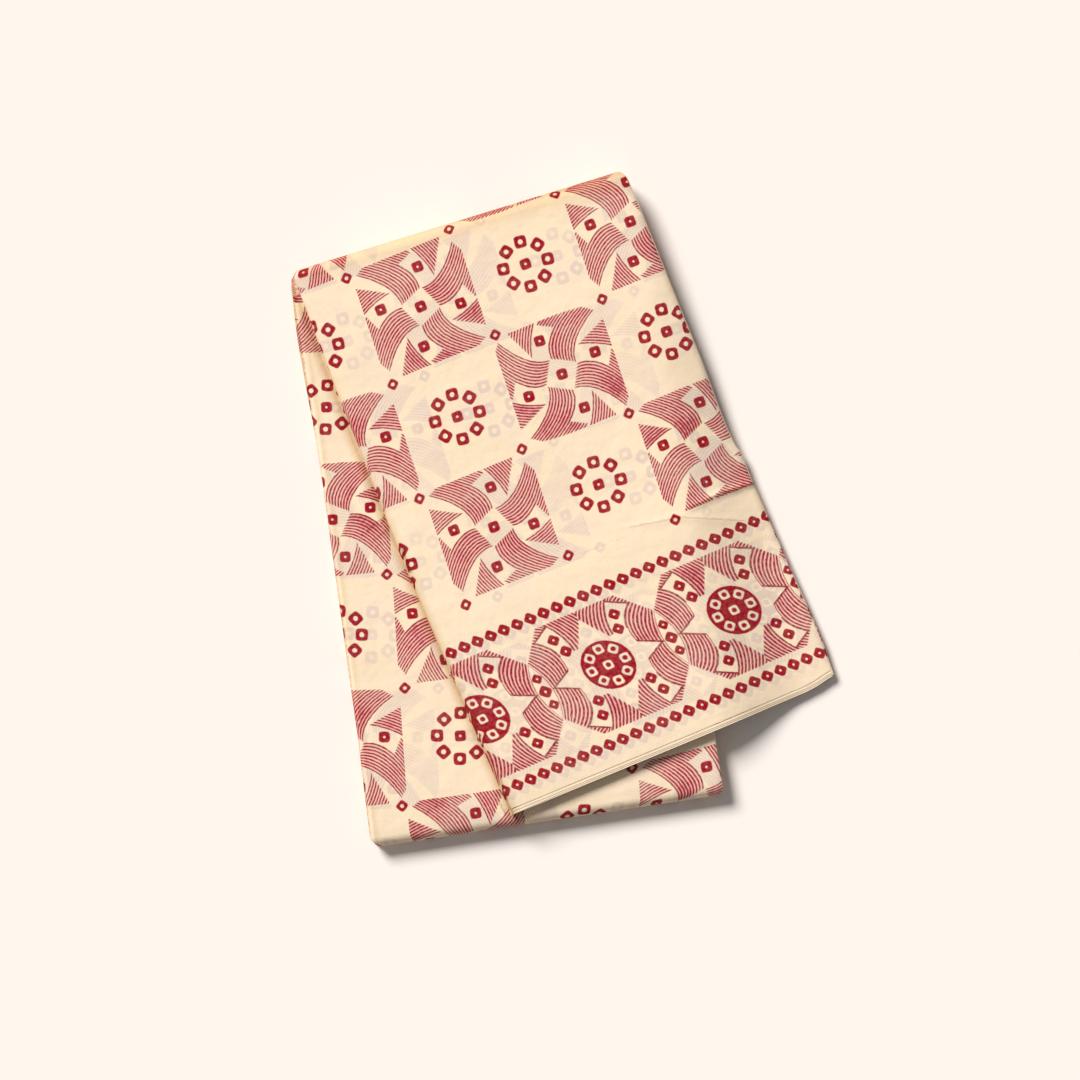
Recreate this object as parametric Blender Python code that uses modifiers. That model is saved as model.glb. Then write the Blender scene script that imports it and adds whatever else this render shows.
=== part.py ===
"""A cotton sari, folded into a long strip and laid flat, as one closed sheet of cloth.

The strip's layers run back and forth across it: two long layers bent in half at the left side,
one inside the other, and joined at the right. The strip itself is folded in three. A hidden run
lies on the ground, the back lies on that, and the flap lies on top, turned to the right where it
comes over the slanting top fold, so that its lower corner hangs past the back's right edge.

Metres, +Z up. X is to the right and Y up the picture. The origin is the middle of the footprint.
"""

import bpy
import bmesh
import math
import numpy as np
from mathutils import Vector

CLOTH = 0.0012            # thickness of the sheet
LEVEL = 0.00175           # height from one layer's middle to the next
ROOM = 0.00095            # radius of the tightest turn between two runs, at the layer's middle
LEVELS = 4                # layers in a run
STRIP_WIDTH = 0.231       # mean width of the folded strip
FREE_END_IN = 0.0020      # how far the inner free end stops short of the right side
OUTER_END_IN = 0.0004     # the same for the outer free end

PILE = (LEVELS - 1) * LEVEL                   # lowest layer's middle to the highest's, in a run
TURN_REACH = ROOM + PILE + CLOTH / 2          # how far a fold stands out past its axis
GROUND_RUN = 0.365                            # length of the run that is tucked under

# Corners of the outline seen from above, with the folds' round edges in it.
# corner           x         y
CORNERS = {
    "top_left":     (-0.1775, 0.1560),
    "top_right":    (0.0406, 0.2222),
    "back_left":    (-0.1250, -0.2211),
    "back_right":   (0.1066, -0.1862),
    "flap_left":    (-0.0337, -0.1995),
    "flap_right":   (0.1807, -0.1107),
}

# How far each long side stands out from the straight line between its corners.
# run      side      place 0 to 1   out
SIDE_BOWS = (
    ("back", "left", 0.00, 0.0000),
    ("back", "left", 0.20, -0.0010),
    ("back", "left", 0.66, -0.0011),
    ("back", "left", 0.92, 0.0022),
    ("back", "left", 1.00, 0.0010),
    ("back", "right", 0.00, 0.0000),
    ("back", "right", 0.50, -0.0015),
    ("back", "right", 1.00, 0.0000),
    ("flap", "left", 0.00, 0.0000),
    ("flap", "left", 0.25, 0.0020),
    ("flap", "left", 0.53, 0.0034),
    ("flap", "left", 0.75, 0.0018),
    ("flap", "left", 1.00, 0.0000),
    ("flap", "right", 0.00, 0.0000),
    ("flap", "right", 0.33, -0.0012),
    ("flap", "right", 0.52, -0.0033),
    ("flap", "right", 0.66, -0.0010),
    ("flap", "right", 1.00, 0.0000),
)

FLAP_LIP = 0.0042          # how far the flap's lower layers reach past its top one
SWEEP_CORNER_IN = 0.0075   # how far the flap's lower right corner is drawn in
SWEEP_CORNER_RUN = 0.022   # width over which it is drawn in
CORNER_EASE = 0.0030       # how much narrower the strip is at the crest of a fold
DROOP_RUN = 0.062          # distance past the back over which the flap comes down to the ground
DROOP_FLOOR = 0.0004       # height at which it stops

LEAF_STEPS = 10
SIDE_TURN_STEPS = 4
OUTER_TURN_STEPS = 8

# The stretches of the strip, from the flap's selvedge to the end that is tucked under.
# stretch         steps
STRETCHES = (
    ("flap", 14),
    ("top_fold", 7),
    ("back", 11),
    ("bottom_fold", 7),
    ("ground", 6),
)

# The layers in the order in which the cloth runs through them, with the side of each turn.
# level   turn that follows   steps of that turn
LEAVES = (
    (1, "left", SIDE_TURN_STEPS),
    (2, "right", SIDE_TURN_STEPS),
    (3, "left", OUTER_TURN_STEPS),
    (0, "", 0),
)

CLOTH_COLOUR = (0.96, 0.80, 0.58, 1.0)
CLOTH_ROUGHNESS = 0.85


def clear_scene():
    """Remove what the scene starts with."""
    for obj in list(bpy.data.objects):
        bpy.data.objects.remove(obj, do_unlink=True)


def cloth_material():
    """Make the plain cloth finish."""
    material = bpy.data.materials.new("printed_cotton")
    material.use_nodes = True
    shader = material.node_tree.nodes["Principled BSDF"]
    shader.inputs["Base Color"].default_value = CLOTH_COLOUR
    shader.inputs["Roughness"].default_value = CLOTH_ROUGHNESS
    shader.inputs["Metallic"].default_value = 0.0
    return material


def ease(share):
    """A smooth rise from 0 to 1 as share goes from 0 to 1, flat outside that."""
    held = np.clip(share, 0.0, 1.0)
    return held * held * (3.0 - 2.0 * held)


def along(start, end, share):
    """The points between start and end, where share is 0 at start and 1 at end."""
    return start + (end - start) * share[..., None]


def unit(vector):
    return vector / np.linalg.norm(vector)


def corner(name):
    return np.array(CORNERS[name])


def side_bow(run, side, place):
    """How far a long side stands out at a place along its run, by smooth steps in the table."""
    rows = [row for row in SIDE_BOWS if row[0] == run and row[1] == side]
    places = np.array([row[2] for row in rows])
    outs = np.array([row[3] for row in rows])
    step = np.clip(np.searchsorted(places, place, side="right") - 1, 0, len(rows) - 2)
    share = (place - places[step]) / (places[step + 1] - places[step])
    return outs[step] + (outs[step + 1] - outs[step]) * ease(share)


def section():
    """The cloth's run through the layers, across the strip.

    Returns the width coordinate, the height in the pile and the sheet's normal for each column.
    The two left turns share one centre, so the outer layer wraps the inner one evenly.
    """
    left_centre = CLOTH / 2 + 1.5 * LEVEL
    right_centre = STRIP_WIDTH - CLOTH / 2 - 0.5 * LEVEL
    ends = {"first": STRIP_WIDTH - FREE_END_IN, "last": STRIP_WIDTH - OUTER_END_IN}
    columns = []
    here = ends["first"]
    for place, (level, turn, steps) in enumerate(LEAVES):
        there = {"left": left_centre, "right": right_centre, "": ends["last"]}[turn]
        height = level * LEVEL
        heading = math.copysign(1.0, there - here)
        for step in range(LEAF_STEPS + 1):
            width = here + (there - here) * step / LEAF_STEPS
            columns.append((width, height, 0.0, heading))
        if turn:
            next_height = LEAVES[place + 1][0] * LEVEL
            rises = next_height > height
            radius = abs(next_height - height) / 2
            middle = (height + next_height) / 2
            spin = 1.0 if rises == (turn == "right") else -1.0
            start = -math.pi / 2 if rises else math.pi / 2
            for step in range(1, steps):
                angle = start + spin * math.pi * step / steps
                width = there + radius * math.cos(angle)
                columns.append((width, middle + radius * math.sin(angle),
                                -spin * math.cos(angle), -spin * math.sin(angle)))
        here = there
    return np.array(columns)


def rows():
    """The stretch and the share along it for each row of the grid."""
    names = []
    shares = []
    for place, (name, steps) in enumerate(STRETCHES):
        first = 0 if place == 0 else 1
        for step in range(first, steps + 1):
            names.append(name)
            shares.append(step / steps)
    return np.array(names), np.array(shares)


def inset(point, direction, edge, depth):
    """The point on a side line that lies a depth inside the edge line through point."""
    lean = abs(direction[0] * edge[1] - direction[1] * edge[0])
    return point + direction * depth / lean


def across_line(left, right, width):
    """The points of the line from left to right at each width coordinate of the strip."""
    return along(left, right, width / STRIP_WIDTH)


def fold_lines():
    """The axes of the two folds and the directions that face out of them, seen from above."""
    top_edge = unit(corner("top_right") - corner("top_left"))
    bottom_edge = unit(corner("back_right") - corner("back_left"))
    back_left = unit(corner("top_left") - corner("back_left"))
    back_right = unit(corner("top_right") - corner("back_right"))
    flap_left = unit(corner("flap_left") - corner("top_left"))
    flap_right = unit(corner("flap_right") - corner("top_right"))
    return {
        "bottom": (inset(corner("back_left"), back_left, bottom_edge, TURN_REACH),
                   inset(corner("back_right"), back_right, bottom_edge, TURN_REACH)),
        "top_of_back": (inset(corner("top_left"), -back_left, top_edge, TURN_REACH),
                        inset(corner("top_right"), -back_right, top_edge, TURN_REACH)),
        "top_of_flap": (inset(corner("top_left"), flap_left, top_edge, TURN_REACH),
                        inset(corner("top_right"), flap_right, top_edge, TURN_REACH)),
        "up_side": (back_left, back_right),
        "top_out": np.array((-top_edge[1], top_edge[0])),
        "bottom_out": np.array((bottom_edge[1], -bottom_edge[0])),
        "bottom_edge": bottom_edge,
    }


def bowed(points, run, place, width, sideways):
    """Move points sideways so that the strip's long sides follow the table of bows."""
    share = width / STRIP_WIDTH
    shift = side_bow(run, "right", place) * share - side_bow(run, "left", place) * (1.0 - share)
    return points + sideways * shift[..., None]


def narrowed(points, crest, width, sideways):
    """Draw the strip's sides in towards the crest of a fold, where crest is 1."""
    shift = CORNER_EASE * crest * (1.0 - 2.0 * width / STRIP_WIDTH)
    return points + sideways * shift[..., None]


def flap_end(width, height):
    """Where the flap's selvedge lies: its lower layers reach out, its right corner is drawn in."""
    line = across_line(corner("flap_left"), corner("flap_right"), width)
    edge = unit(corner("flap_right") - corner("flap_left"))
    inward = np.array((-edge[1], edge[0]))
    lip = FLAP_LIP * ease(height / PILE)
    drawn = SWEEP_CORNER_IN * ease((width - STRIP_WIDTH + SWEEP_CORNER_RUN) / SWEEP_CORNER_RUN)
    return line + inward * (lip + drawn)[..., None]


def place_stretch(name, share, width, height, lines):
    """Where the points of one stretch lie, from above and in height, before the flap droops."""
    inner = ROOM + height
    outer = ROOM + PILE - height
    low_axis = CLOTH / 2 + PILE + ROOM
    high_axis = low_axis + PILE + 2.0 * ROOM
    bottom = across_line(*lines["bottom"], width)
    top_back = across_line(*lines["top_of_back"], width)
    top_flap = across_line(*lines["top_of_flap"], width)
    sideways = lines["bottom_edge"]
    if name == "flap":
        spot = along(flap_end(width, height), top_flap, share)
        return bowed(spot, "flap", 1.0 - share, width, sideways), high_axis + inner
    if name == "top_fold":
        angle = math.pi * (1.0 - share)
        spot = along(top_back, top_flap, 1.0 - share)
        spot = spot + lines["top_out"] * (inner * np.sin(angle))[..., None]
        spot = bowed(spot, "back", np.ones_like(share), width, sideways * (share[..., None]))
        return narrowed(spot, np.sin(angle) ** 2, width, sideways), high_axis - inner * np.cos(angle)
    if name == "back":
        spot = along(top_back, bottom, share)
        return bowed(spot, "back", 1.0 - share, width, sideways), low_axis + outer
    if name == "bottom_fold":
        angle = math.pi * share
        spot = bottom + lines["bottom_out"] * (outer * np.sin(angle))[..., None]
        return narrowed(spot, np.sin(angle) ** 2, width, sideways), low_axis + outer * np.cos(angle)
    end = across_line(lines["bottom"][0] + lines["up_side"][0] * GROUND_RUN,
                      lines["bottom"][1] + lines["up_side"][1] * GROUND_RUN, width)
    spot = along(bottom, end, share)
    return bowed(spot, "back", share * GROUND_RUN / 0.39, width, sideways), low_axis - outer


def drooped(spot, z):
    """Let the flap down past the back's right edge, the whole pile together."""
    foot = corner("back_right")
    edge = unit(corner("top_right") - foot)
    past = (spot[..., 0] - foot[0]) * edge[1] - (spot[..., 1] - foot[1]) * edge[0]
    under_flap = 2.0 * PILE + 4.0 * ROOM
    drop = (under_flap - DROOP_FLOOR) * ease(past / DROOP_RUN)
    return z - drop


def placed(column, row, offset):
    """World coordinates of the sheet's points, given column, row and offset along the normal."""
    columns = section()
    names, shares = rows()
    lines = fold_lines()
    width = columns[column, 0] + offset * columns[column, 2]
    height = columns[column, 1] + offset * columns[column, 3]
    world = np.zeros((len(column), 3))
    for name, _ in STRETCHES:
        chosen = names[row] == name
        spot, z = place_stretch(name, shares[row][chosen], width[chosen], height[chosen], lines)
        world[chosen, :2] = spot
        world[chosen, 2] = drooped(spot, z) if name == "flap" else z
    middle = (world[:, :2].min(axis=0) + world[:, :2].max(axis=0)) / 2
    world[:, :2] -= middle
    return world


def split_quads(mesh):
    """Split each four-sided face along the diagonal that runs nearest to the droop's level lines.

    Layers that lie on each other are then split the same way, so they stay evenly apart.
    """
    level = Vector(unit(corner("top_right") - corner("back_right")))
    work = bmesh.new()
    work.from_mesh(mesh)
    for face in list(work.faces):
        if len(face.verts) != 4:
            continue
        first, second, third, fourth = face.verts
        one = (third.co - first.co).xy
        other = (fourth.co - second.co).xy
        if abs(one.normalized() @ level) > abs(other.normalized() @ level):
            bmesh.utils.face_split(face, first, third)
        else:
            bmesh.utils.face_split(face, second, fourth)
    work.to_mesh(mesh)
    work.free()


def flat_sheet(name, columns, lines):
    """A flat grid with a Solidify modifier, one unit to a grid step."""
    mesh = bpy.data.meshes.new(name + "_grid")
    work = bmesh.new()
    bmesh.ops.create_grid(work, x_segments=columns, y_segments=lines, size=0.5)
    for vertex in work.verts:
        vertex.co.x = round((vertex.co.x + 0.5) * columns)
        vertex.co.y = round((vertex.co.y + 0.5) * lines)
    work.to_mesh(mesh)
    work.free()
    obj = bpy.data.objects.new(name, mesh)
    thicken = obj.modifiers.new("thickness", "SOLIDIFY")
    thicken.thickness = CLOTH
    thicken.offset = 0.0
    return obj


def build_sari():
    """Fold the flat sheet into the sari and put it in its own collection."""
    home = bpy.data.collections.new("cotton_sari")
    bpy.context.scene.collection.children.link(home)
    flat = flat_sheet("flat_cloth", len(section()) - 1, len(rows()[0]) - 1)
    home.objects.link(flat)
    bpy.context.view_layer.update()
    evaluated = flat.evaluated_get(bpy.context.evaluated_depsgraph_get())
    mesh = bpy.data.meshes.new_from_object(evaluated)
    bpy.data.objects.remove(flat, do_unlink=True)

    points = np.empty(len(mesh.vertices) * 3)
    mesh.vertices.foreach_get("co", points)
    points = points.reshape(-1, 3)
    column = np.rint(points[:, 0]).astype(int)
    row = np.rint(points[:, 1]).astype(int)
    folded = placed(column, row, points[:, 2])
    mesh.vertices.foreach_set("co", folded.ravel())
    split_quads(mesh)
    mesh.update()

    mesh.name = "sari_cloth"
    mesh.materials.clear()
    mesh.materials.append(cloth_material())
    mesh.shade_smooth()
    mesh.set_sharp_from_angle(angle=math.radians(40.0))
    sari = bpy.data.objects.new("sari_cloth", mesh)
    home.objects.link(sari)
    return sari


clear_scene()
build_sari()
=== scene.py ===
"""The folded cotton sari: one long printed cloth, folded into a strip and laid on itself in three.

The cloth is a single thin sheet. It runs back and forth through 24 leaves across the strip, and the
strip is folded into a run that is tucked under, a back and a flap. The print is worked out in the
material from the print's own sizes: cells with pinwheels and rings of dots, and a border of
medallions between rows of dots.

Lengths are metres with +Z up. Sizes of the print are given in print units, of which there are
1530 to the metre.
"""

import logging
import math
from dataclasses import dataclass, field
from enum import Enum
from typing import Dict, List, Sequence, Tuple, Union

import bpy
import numpy as np
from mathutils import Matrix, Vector


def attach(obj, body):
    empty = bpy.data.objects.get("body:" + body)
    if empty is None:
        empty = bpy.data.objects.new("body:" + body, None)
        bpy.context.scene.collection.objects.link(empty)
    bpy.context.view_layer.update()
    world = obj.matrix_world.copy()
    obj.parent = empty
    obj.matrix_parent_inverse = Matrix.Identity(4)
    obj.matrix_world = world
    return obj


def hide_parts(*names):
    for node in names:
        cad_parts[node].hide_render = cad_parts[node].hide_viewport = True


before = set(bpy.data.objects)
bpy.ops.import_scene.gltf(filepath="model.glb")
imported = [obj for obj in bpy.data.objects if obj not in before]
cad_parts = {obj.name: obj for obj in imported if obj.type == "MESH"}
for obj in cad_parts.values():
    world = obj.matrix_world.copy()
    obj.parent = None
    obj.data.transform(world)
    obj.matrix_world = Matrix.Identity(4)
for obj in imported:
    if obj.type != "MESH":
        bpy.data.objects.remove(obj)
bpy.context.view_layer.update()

log = logging.getLogger("cotton_sari")

UNITS = 1530.0                     # print units in a metre
UNIT_ORIGIN = (562.5, 510.0)       # the plan's own zero in print units, x right and y down
PLAN_MIDDLE = (-0.00043, 0.00059)  # the footprint's middle in the plan's own coordinates
HALF_ROOT = math.sqrt(0.5)         # sine and cosine of an eighth of a turn

Array = np.ndarray
Pair = Tuple[float, float]
Span = Tuple[Pair, Pair]
Colour = Tuple[float, float, float]
Hill = Tuple[float, Pair, Pair, float]
Tree = bpy.types.NodeTree
Socket = bpy.types.NodeSocket


class Stretch(Enum):
    """The stretches of the strip, from the flap's selvedge to the end that is tucked under."""

    FLAP = 0
    TOP_FOLD = 1
    BACK = 2
    BOTTOM_FOLD = 3
    GROUND = 4


def ease(share: Array) -> Array:
    """A smooth rise: 3t^2 - 2t^3 with t held between 0 and 1."""
    held = np.clip(share, 0.0, 1.0)
    return held * held * (3.0 - 2.0 * held)


def along(start: Array, end: Array, share: Array) -> Array:
    """Points start + (end - start) t."""
    return start + (end - start) * share[..., None]


def unit(vector: Array) -> Array:
    """The vector divided by its length."""
    return vector / np.linalg.norm(vector)


def paired(first: Array, second: Array) -> Array:
    """Two arrays as the two numbers of each point."""
    return np.stack([first, second], axis=-1)


def units_of(spot: Array) -> Array:
    """Plan points in print units, x to the right and y down."""
    return paired(UNIT_ORIGIN[0] + UNITS * spot[..., 0], UNIT_ORIGIN[1] - UNITS * spot[..., 1])


def placed(name: str, data: bpy.types.ID) -> bpy.types.Object:
    """Make an object and link it to the scene.

    Args:
        name: The object's name.
        data: Its mesh, lamp or camera.

    Returns:
        The object.
    """
    made = bpy.data.objects.new(name, data)
    bpy.context.scene.collection.objects.link(made)
    return made


def hills(spot: Array, rows: Sequence[Hill]) -> Array:
    """A sum of round-topped hills: h exp(-(a/w)^2 - (b/d)^2), a and b along the hill's own axes.

    Args:
        spot: Plan points.
        rows: Each hill's height in metres, its middle, its half-length and half-width in print
            units, and the degrees by which it is turned down from the x axis.

    Returns:
        Metres upwards.
    """
    x, y = np.moveaxis(units_of(spot), -1, 0)
    total = np.zeros_like(x)
    for height, middle, size, turn in rows:
        cosine, sine = math.cos(math.radians(turn)), math.sin(math.radians(turn))
        right, down = x - middle[0], y - middle[1]
        a, b = right * cosine + down * sine, down * cosine - right * sine
        total += height * np.exp(-((a / size[0]) ** 2) - (b / size[1]) ** 2)
    return total


@dataclass(frozen=True)
class Outline:
    """The strip's outline seen from above, with the folds' round edges in it."""

    corners: Dict[str, Pair] = field(default_factory=lambda: {
        "top_left": (-0.1775, 0.1560), "top_right": (0.0406, 0.2222),
        "back_left": (-0.1250, -0.2211), "back_right": (0.1066, -0.1862),
        "flap_left": (-0.0337, -0.1995), "flap_right": (0.1807, -0.1107),
    })
    bows: Dict[Tuple[str, str], Sequence[Pair]] = field(default_factory=lambda: {
        ("back", "left"): ((0.0, 0.0), (0.20, -0.0010), (0.66, -0.0011), (0.92, 0.0022),
                           (1.0, 0.0010)),
        ("back", "right"): ((0.0, 0.0), (0.50, -0.0015), (1.0, 0.0)),
        ("flap", "left"): ((0.0, 0.0), (0.25, 0.0020), (0.53, 0.0034), (0.75, 0.0018), (1.0, 0.0)),
        ("flap", "right"): ((0.0, 0.0), (0.33, -0.0012), (0.50, -0.0031), (0.535, -0.0027),
                            (0.557, -0.0006), (0.60, -0.0013), (0.66, -0.0010), (0.93, 0.0004),
                            (1.0, -0.0012)),
    })

    def corner(self, name: str) -> Array:
        """A corner as an array."""
        return np.array(self.corners[name])

    def way(self, start: str, end: str) -> Array:
        """The direction from one corner to another."""
        return unit(self.corner(end) - self.corner(start))

    def bow(self, run: str, side: str, place: Array) -> Array:
        """How far a long side stands out, by smooth steps from one table row to the next.

        Args:
            run: The back or the flap.
            side: Left or right.
            place: Share of the way along the run.

        Returns:
            Metres outwards.
        """
        places, outs = np.array(self.bows[(run, side)]).T
        step = np.clip(np.searchsorted(places, place, side="right") - 1, 0, places.size - 2)
        share = (place - places[step]) / (places[step + 1] - places[step])
        return outs[step] + (outs[step + 1] - outs[step]) * ease(share)


@dataclass
class SariCloth:
    """The one folded sheet: its leaves across the strip, its stretches along it and its creases."""

    outline: Outline = field(default_factory=Outline)
    cloth: float = 0.0002
    level: float = 0.00625 / 23
    levels: int = 24
    room: float = 0.00045
    strip_width: float = 0.231
    ground_run: float = 0.365
    back_run: float = 0.39
    flap_lip: float = 0.0042
    lip_levels: Pair = (19.5, 3.0)
    hem_wave: Pair = (0.0006, 1.9)
    hem_start: float = 0.006
    corner_in: float = 0.0030
    corner_run: float = 0.020
    corner_ease: float = 0.0030
    droop_run: float = 0.062
    droop_floor: float = 0.0004
    leaf_steps: Tuple[int, int] = (3, 11)
    leaf_split: float = 0.134
    fine_steps: int = 96
    side_step: float = 0.0048
    first_inset: float = 0.0031
    inset: Pair = (0.0002, 0.0011)
    top_lift: float = 0.0002
    skin_power: int = 40
    calm_share: float = 0.08
    end_settle: float = 0.0004
    settle_share: float = 0.03
    crease_share: float = 0.434
    crowding: float = 0.68
    order: Sequence[int] = (1, 22, 23, 0, 2, 21, 20, 3, 4, 19, 18, 5, 6, 17, 16, 7, 8, 15, 14, 9,
                            10, 13, 12, 11)
    steps: Dict[Stretch, int] = field(default_factory=lambda: dict(zip(Stretch, (76, 9, 38, 9, 5))))
    flap_hills: Sequence[Hill] = (
        (0.0006, (430, 360), (150, 60), 60), (0.0006, (600, 330), (120, 70), 20),
        (0.0005, (455, 560), (120, 34), 66), (0.0006, (610, 560), (130, 36), -22),
        (0.0004, (715, 500), (60, 26), -14), (0.0005, (560, 735), (110, 22), -22),
        (0.0010, (705, 501), (20, 3.4), -27), (0.0013, (738, 488), (20, 3.2), -17),
        (0.00035, (655, 522), (26, 3.2), -10), (0.00045, (712, 519), (38, 3.4), 2),
        (0.00030, (640, 474), (30, 4.0), -20), (0.00045, (504, 786), (26, 4.5), 66),
        (0.00040, (412, 573), (16, 4.5), 62),
    )
    back_hills: Sequence[Hill] = (
        (0.0010, (388, 520), (44, 8), 64), (0.0007, (368, 498), (40, 9), 72),
        (0.0006, (430, 800), (90, 30), 40), (0.0005, (362, 690), (90, 12), 80),
        (0.0005, (318, 390), (110, 9), 78), (0.0005, (660, 790), (80, 20), -10),
    )

    def __post_init__(self) -> None:
        """Work out the sizes that follow from the others."""
        self.pile = (self.levels - 1) * self.level
        self.reach = self.room + self.pile + self.cloth / 2
        self.low_axis = self.cloth / 2 + self.pile + self.room
        self.high_axis = self.low_axis + self.pile + 2.0 * self.room
        self.left_centre = (self.cloth + self.pile) / 2
        self.turn_length = math.pi * self.pile / 2
        self._across()
        self._down()
        self._fold_lines()

    def right_inset(self, place: int) -> float:
        """How far a leaf stops short of the strip's right side.

        Args:
            place: The leaf's place in the order of folding.

        Returns:
            Metres: one size for the free end, and a wave of the level for a turn.
        """
        if place == 0:
            return self.first_inset
        turn = self.order[min(place + place % 2, self.levels - 1)]
        return self.inset[0] + self.inset[1] * (1.0 + math.sin(2.4 * turn + 0.9))

    def _across(self) -> None:
        """The columns of the sheet: each leaf's straight run and the half circle to the next.

        The stations of a hidden leaf stand closer on the right, where the flap comes down. A left
        turn is a half circle about one shared centre, a right turn a small half circle at the
        leaf's own end.
        """
        last, edge = self.levels - 1, self.strip_width - self.side_step
        few, many = self.leaf_steps
        fine = np.linspace(self.left_centre, edge, self.fine_steps + 1)
        coarse = np.append(np.linspace(self.left_centre, self.leaf_split, few + 1)[:-1],
                           np.linspace(self.leaf_split, edge, many + 1))
        columns: List[Array] = []
        for place, level in enumerate(self.order):
            goes_left = place % 2 == 0
            partner = self.order[min(max(place - 1 if goes_left else place + 1, 0), last)]
            radius = abs(partner - level) * self.level / 2
            end = self.strip_width - self.cloth / 2 - self.right_inset(place) - radius
            run = np.append(fine if level in (last, 0) else coarse, end)
            run = run[::-1] if goes_left else run
            flat = np.ones(run.size)
            columns.append(np.stack([run, flat * level * self.level, flat * level, flat * 0.0]))
            if place == last:
                break
            after = self.order[place + 1]
            bend = abs(after - level) * self.level / 2
            steps = 4 + abs(after - level) // 2 if goes_left else 3
            angle = np.arange(1, steps) / steps * math.pi
            out = bend * np.sin(angle)
            columns.append(np.stack([
                self.left_centre - out if goes_left else end + out,
                ((level + after) - (after - level) * np.cos(angle)) * self.level / 2,
                np.where(angle < math.pi / 2, level, after),
                angle * bend * goes_left]))
        self.width, self.height, owner, self.turned = np.concatenate(columns, axis=1)
        self.owner = owner.astype(int)
        stride = np.hypot(np.diff(self.width), np.diff(self.height))
        self.run = np.concatenate([[0.0], np.cumsum(stride)])

    def _down(self) -> None:
        """The rows of the sheet: evenly spaced, and closer where the flap's creases cross it."""
        names: List[int] = []
        shares: List[Array] = []
        for stretch, steps in self.steps.items():
            share = np.arange(steps + 1) / steps
            if stretch is Stretch.FLAP:
                swing = self.crowding / (2.0 * math.pi)
                share = share - swing * np.sin(2.0 * math.pi * (share - self.crease_share))
                share = (share - share[0]) / (share[-1] - share[0])
            else:
                share = share[1:]
            names.extend([stretch.value] * share.size)
            shares.append(share)
        self.stretch = np.array(names)
        self.share = np.concatenate(shares)

    def _fold_lines(self) -> None:
        """The axes of the two folds, each a fold's reach inside the outline."""
        o = self.outline
        top_edge, bottom_edge = o.way("top_left", "top_right"), o.way("back_left", "back_right")
        self.back_left = o.way("back_left", "top_left")
        back_right = o.way("back_right", "top_right")

        def inset(name: str, way: Array, edge: Array) -> Array:
            """A point on a side line that lies a fold's reach inside the edge line."""
            lean = abs(way[0] * edge[1] - way[1] * edge[0])
            return o.corner(name) + way * self.reach / lean

        self.bottom = (inset("back_left", self.back_left, bottom_edge),
                       inset("back_right", back_right, bottom_edge))
        self.top_back = (inset("top_left", -self.back_left, top_edge),
                         inset("top_right", -back_right, top_edge))
        self.top_flap = (inset("top_left", o.way("top_left", "flap_left"), top_edge),
                         inset("top_right", o.way("top_right", "flap_right"), top_edge))
        self.top_out = np.array((-top_edge[1], top_edge[0]))
        self.bottom_out = np.array((bottom_edge[1], -bottom_edge[0]))
        self.sideways = bottom_edge

    def line(self, ends: Tuple[Array, Array], width: Array) -> Array:
        """Points of the line between two ends at each width coordinate."""
        return along(ends[0], ends[1], width / self.strip_width)

    def bowed(self, spot: Array, run: str, place: Array, width: Array, amount: float = 1.0
              ) -> Array:
        """Points moved sideways by the outline's bows, mixed in proportion across the strip.

        Args:
            spot: Plan points.
            run: The back or the flap.
            place: Share of the way along the run.
            width: Width coordinates.
            amount: How much of the bow is used, 0 to 1.

        Returns:
            The moved points.
        """
        share = np.clip(width / self.strip_width, 0.0, 1.0)
        right, left = (self.outline.bow(run, side, place) for side in ("right", "left"))
        return spot + self.sideways * ((right * share - left * (1.0 - share)) * amount)[..., None]

    def narrowed(self, spot: Array, crest: Array, width: Array) -> Array:
        """Points drawn in towards the strip's middle where crest is near 1."""
        shift = self.corner_ease * crest * (1.0 - 2.0 * width / self.strip_width)
        return spot + self.sideways * shift[..., None]

    def flap_end(self, width: Array, height: Array) -> Array:
        """The flap's selvedge: the top leaves reach further out, the right corner is drawn in.

        Args:
            width: Width coordinates.
            height: Heights in the pile.

        Returns:
            Plan points.
        """
        o, level = self.outline, height / self.level
        spot = self.line((o.corner("flap_left"), o.corner("flap_right")), width)
        edge = o.way("flap_left", "flap_right")
        first, rise = self.lip_levels
        waves = self.hem_wave[0] * (1.0 + np.sin(self.hem_wave[1] * level)) * (level < first + 1.0)
        uneven = waves * ease((width - self.left_centre) / self.hem_start)
        lip = self.flap_lip * ease((level - first) / rise) + uneven
        start = self.strip_width - self.corner_run
        drawn = self.corner_in * ease((width - start) / self.corner_run)
        return spot + np.array((-edge[1], edge[0])) * (lip + drawn)[..., None]

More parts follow.
